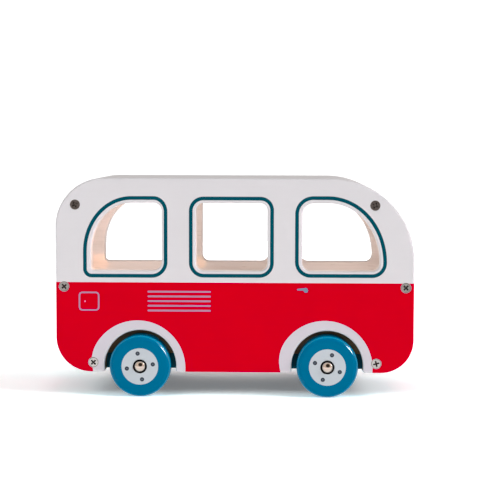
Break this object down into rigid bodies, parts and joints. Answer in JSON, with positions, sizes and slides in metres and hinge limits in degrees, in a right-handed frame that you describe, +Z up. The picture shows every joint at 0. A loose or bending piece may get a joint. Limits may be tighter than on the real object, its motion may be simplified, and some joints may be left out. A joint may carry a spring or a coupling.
{
  "type": "toy bus",
  "caption": "Hollow wooden push-along toy bus with open windows: painted side panels screwed onto a board core, and free-turning wooden wheels on steel axles.",
  "frame": {"origin": "on the ground, under the middle of the body's length and width", "axes": "+X to the front of the bus, +Y to its left side, +Z up"},
  "size_m": [0.25, 0.1046, 0.1528],
  "materials": {
    "panel_paint": "satin white and red paint on plywood, teal outlines",
    "core_board": "satin white paint outside, bare pale wood inside",
    "floor_wood": "bare pale wood",
    "chassis_paint": "satin teal paint",
    "wheel_paint": "satin teal-blue paint with a pale hub disc",
    "axle_steel": "plain drawn steel",
    "cap_chrome": "bright chrome",
    "screw_zinc": "zinc plated"
  },
  "bodies": {
    "bus_body": {"side_panel_right": "panel_paint", "side_panel_left": "panel_paint", "roof_shell": "core_board", "front_board": "core_board", "rear_board": "core_board", "chassis_board": "chassis_paint", "floor_board": "floor_wood", "front_axle": "axle_steel", "rear_axle": "axle_steel", "cap_front_right": "cap_chrome", "cap_front_left": "cap_chrome", "cap_rear_right": "cap_chrome", "cap_rear_left": "cap_chrome", "washer_front_right": "axle_steel", "washer_front_left": "axle_steel", "washer_rear_right": "axle_steel", "washer_rear_left": "axle_steel", "panel_screws_right": "screw_zinc", "panel_screws_left": "screw_zinc"},
    "front_right_wheel": {"wheel_front_right": "wheel_paint"},
    "front_left_wheel": {"wheel_front_left": "wheel_paint"},
    "rear_right_wheel": {"wheel_rear_right": "wheel_paint"},
    "rear_left_wheel": {"wheel_rear_left": "wheel_paint"}
  },
  "joints": [
    {"name": "front_right_spin", "type": "hinge", "parent": "bus_body", "child": "front_right_wheel", "pos_m": [0.0648, -0.0425, 0.0215], "axis": [0, 1, 0], "continuous": true},
    {"name": "front_left_spin", "type": "hinge", "parent": "bus_body", "child": "front_left_wheel", "pos_m": [0.0648, 0.0425, 0.0215], "axis": [0, 1, 0], "continuous": true},
    {"name": "rear_right_spin", "type": "hinge", "parent": "bus_body", "child": "rear_right_wheel", "pos_m": [-0.066, -0.0425, 0.0215], "axis": [0, 1, 0], "continuous": true},
    {"name": "rear_left_spin", "type": "hinge", "parent": "bus_body", "child": "rear_left_wheel", "pos_m": [-0.066, 0.0425, 0.0215], "axis": [0, 1, 0], "continuous": true}
  ]
}
